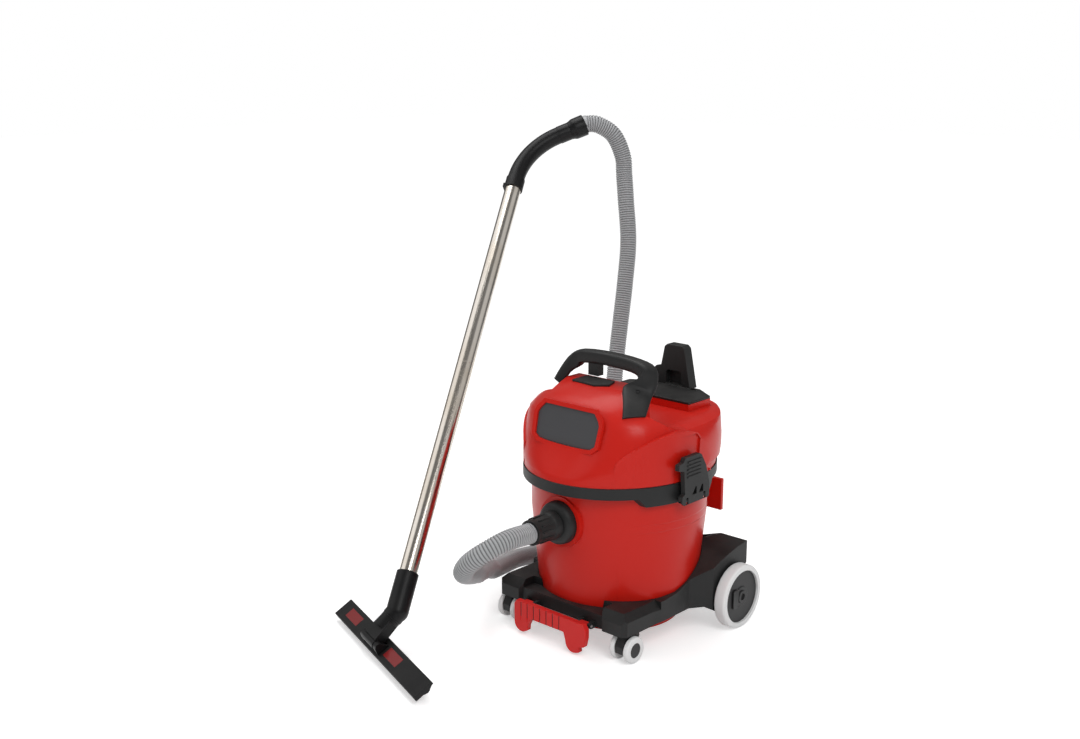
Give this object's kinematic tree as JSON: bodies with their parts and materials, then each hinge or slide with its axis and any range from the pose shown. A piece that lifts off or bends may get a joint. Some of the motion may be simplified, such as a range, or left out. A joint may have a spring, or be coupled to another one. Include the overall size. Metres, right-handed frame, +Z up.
{
  "type": "shop vacuum",
  "caption": "Wet and dry shop vacuum on a wheeled trolley, with a lift-off motor head, latches, hose, steel wand and floor nozzle.",
  "frame": {"origin": "centre of the bottom of the box round everything but the loose hose, on the floor", "axes": "+X to the vacuum's right, +Y to its rear, +Z up"},
  "size_m": [0.7164, 0.9826, 0.9387],
  "materials": {
    "red_housing": "smooth satin",
    "black_plastic": "fine moulded grain",
    "grey_plastic": "smooth",
    "steel_pin": "turned",
    "wand_steel": "polished, lightly brushed",
    "white_tyre": "matt soft",
    "hose_plastic": "ribbed, slightly glossy",
    "seal_rubber": "matt",
    "filter_fabric": "pleated paper",
    "float_plastic": "smooth",
    "red_window": "translucent look",
    "bristle": "brushed fibres"
  },
  "bodies": {
    "base": {"trolley": "black_plastic", "stub_axle_left": "steel_pin", "stub_axle_right": "steel_pin", "tank": "red_housing", "tank_ring": "black_plastic", "inlet_flange": "black_plastic", "tank_bracket": "red_housing", "latch_pin_left": "steel_pin", "latch_pin_right": "steel_pin", "pedal_pin": "steel_pin", "wand_lower": "wand_steel", "wand_upper": "wand_steel", "hand_tube": "black_plastic", "nozzle_elbow": "black_plastic", "hose": "hose_plastic"},
    "head": {"head_cover": "red_housing", "head_base": "black_plastic", "head_seal": "seal_rubber", "carry_handle": "black_plastic", "top_plate": "black_plastic", "deck_plate": "black_plastic", "rear_post": "black_plastic", "control_panel": "grey_plastic", "motor_housing": "black_plastic", "filter_cage": "black_plastic", "filter_cartridge": "filter_fabric", "filter_nut": "grey_plastic"},
    "rotor": {"motor_rotor": "steel_pin"},
    "float": {"float_ball": "float_plastic"},
    "latch_l": {"latch_left": "black_plastic"},
    "latch_r": {"latch_right": "black_plastic"},
    "wheel_l": {"wheel_disc_left": "grey_plastic", "wheel_tyre_left": "white_tyre"},
    "wheel_r": {"wheel_disc_right": "grey_plastic", "wheel_tyre_right": "white_tyre"},
    "swivel_l": {"castor_fork_left": "black_plastic"},
    "swivel_r": {"castor_fork_right": "black_plastic"},
    "castor_l": {"castor_hub_left": "grey_plastic", "castor_tyre_left_in": "white_tyre", "castor_tyre_left_out": "white_tyre"},
    "castor_r": {"castor_hub_right": "grey_plastic", "castor_tyre_right_in": "white_tyre", "castor_tyre_right_out": "white_tyre"},
    "pedal": {"brake_pedal": "red_housing"},
    "cuff": {"inlet_cuff": "black_plastic"},
    "hand_cuff": {"hose_cuff": "black_plastic"},
    "slider": {"air_slider": "black_plastic"},
    "neck": {"nozzle_neck": "black_plastic"},
    "nozzle": {"nozzle_shell": "black_plastic", "nozzle_window_left": "red_window", "nozzle_window_right": "red_window", "nozzle_brushes": "bristle"},
    "roller_l": {"nozzle_roller_left": "grey_plastic"},
    "roller_r": {"nozzle_roller_right": "grey_plastic"}
  },
  "joints": [
    {"name": "head_lift", "type": "slide", "parent": "base", "child": "head", "axis": [0, 0, 1], "range_m": [0, 0.3]},
    {"name": "motor_spin", "type": "hinge", "parent": "head", "child": "rotor", "pos_m": [0.14316, 0.07141, 0.26], "axis": [0, 0, 1], "continuous": true},
    {"name": "float_rise", "type": "slide", "parent": "head", "child": "float", "axis": [0, 0, 1], "range_m": [0, 0.05]},
    {"name": "latch_right_open", "type": "hinge", "parent": "base", "child": "latch_r", "pos_m": [0.32616, 0.07141, 0.288], "axis": [0, 1, 0], "range_deg": [0, 50]},
    {"name": "latch_left_open", "type": "hinge", "parent": "base", "child": "latch_l", "pos_m": [-0.03984, 0.07141, 0.288], "axis": [0, -1, 0], "range_deg": [0, 50]},
    {"name": "wheel_left_roll", "type": "hinge", "parent": "base", "child": "wheel_l", "pos_m": [-0.05684, 0.18641, 0.0625], "axis": [1, 0, 0], "continuous": true},
    {"name": "wheel_right_roll", "type": "hinge", "parent": "base", "child": "wheel_r", "pos_m": [0.34316, 0.18641, 0.0625], "axis": [1, 0, 0], "continuous": true},
    {"name": "castor_left_swivel", "type": "hinge", "parent": "base", "child": "swivel_l", "pos_m": [0.00216, -0.05859, 0.06], "axis": [0, 0, 1], "continuous": true},
    {"name": "castor_right_swivel", "type": "hinge", "parent": "base", "child": "swivel_r", "pos_m": [0.28416, -0.05859, 0.06], "axis": [0, 0, 1], "continuous": true},
    {"name": "castor_left_roll", "type": "hinge", "parent": "swivel_l", "child": "castor_l", "pos_m": [0.00216, -0.07459, 0.025], "axis": [1, 0, 0], "continuous": true},
    {"name": "castor_right_roll", "type": "hinge", "parent": "swivel_r", "child": "castor_r", "pos_m": [0.28416, -0.07459, 0.025], "axis": [1, 0, 0], "continuous": true},
    {"name": "pedal_swing", "type": "hinge", "parent": "base", "child": "pedal", "pos_m": [0.14316, -0.10359, 0.058], "axis": [1, 0, 0], "range_deg": [-30, 0]},
    {"name": "inlet_cuff_turn", "type": "hinge", "parent": "base", "child": "cuff", "pos_m": [0.14316, -0.12859, 0.238], "axis": [0, 1, 0], "continuous": true},
    {"name": "hand_cuff_turn", "type": "hinge", "parent": "base", "child": "hand_cuff", "pos_m": [-0.26847, 0.43995, 0.91724], "axis": [0.6082, 0.7056, 0.3637], "continuous": true},
    {"name": "air_slider_move", "type": "slide", "parent": "base", "child": "slider", "axis": [-0.2855, 0.6208, 0.7302], "range_m": [0, 0.013]},
    {"name": "neck_swivel", "type": "hinge", "parent": "base", "child": "neck", "pos_m": [-0.04949, -0.33049, 0.07869], "axis": [0.2488, 0.7027, 0.6665], "range_deg": [-35, 35]},
    {"name": "nozzle_tilt", "type": "hinge", "parent": "neck", "child": "nozzle", "pos_m": [-0.06666, -0.37898, 0.0327], "axis": [0.9426, -0.3338, 0], "range_deg": [-33, 2]},
    {"name": "roller_left_roll", "type": "hinge", "parent": "nozzle", "child": "roller_l", "pos_m": [-0.22184, -0.30404, 0.02144], "axis": [0.9426, -0.3338, 0], "continuous": true},
    {"name": "roller_right_roll", "type": "hinge", "parent": "nozzle", "child": "roller_r", "pos_m": [0.12882, -0.42822, 0.02144], "axis": [0.9426, -0.3338, 0], "continuous": true}
  ]
}
